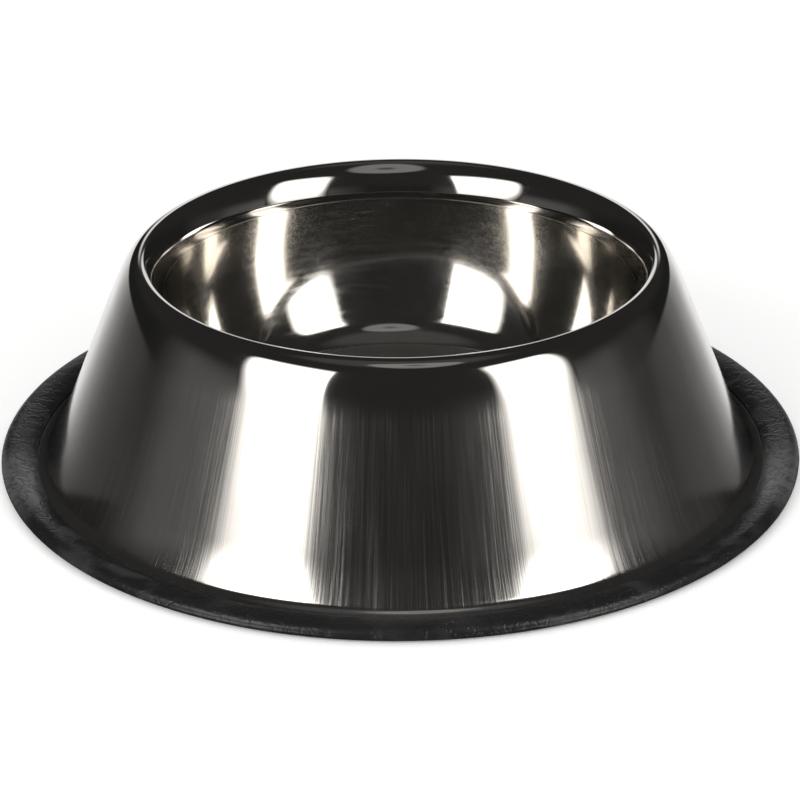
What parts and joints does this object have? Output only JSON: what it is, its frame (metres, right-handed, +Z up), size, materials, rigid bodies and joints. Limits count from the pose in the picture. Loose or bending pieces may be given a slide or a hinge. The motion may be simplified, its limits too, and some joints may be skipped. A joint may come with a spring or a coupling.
{
  "type": "pet bowl",
  "caption": "Stainless steel non-tip pet bowl: a flared skirt with a rolled rim, a drawn feeding dish seamed into the rim, and a rubber ring that grips the base flange.",
  "frame": {"origin": "centre of the bowl on the floor, under the middle of the rubber ring", "axes": "+Z up along the bowl's axis of revolution, +X to the right and -Y towards the viewer of the picture"},
  "size_m": [0.25, 0.25, 0.0665],
  "materials": {
    "skirt_steel": "stainless sheet, mirror polished on the rim and brushed in upright streaks on the wall",
    "dish_steel": "mirror polished stainless sheet with faint spinning marks and dried water spots",
    "ring_rubber": "black rubber with a dull sheen, lightly scuffed"
  },
  "bodies": {
    "root": {"outer_body": "skirt_steel", "feeding_dish": "dish_steel", "rubber_ring": "ring_rubber"}
  },
  "joints": []
}
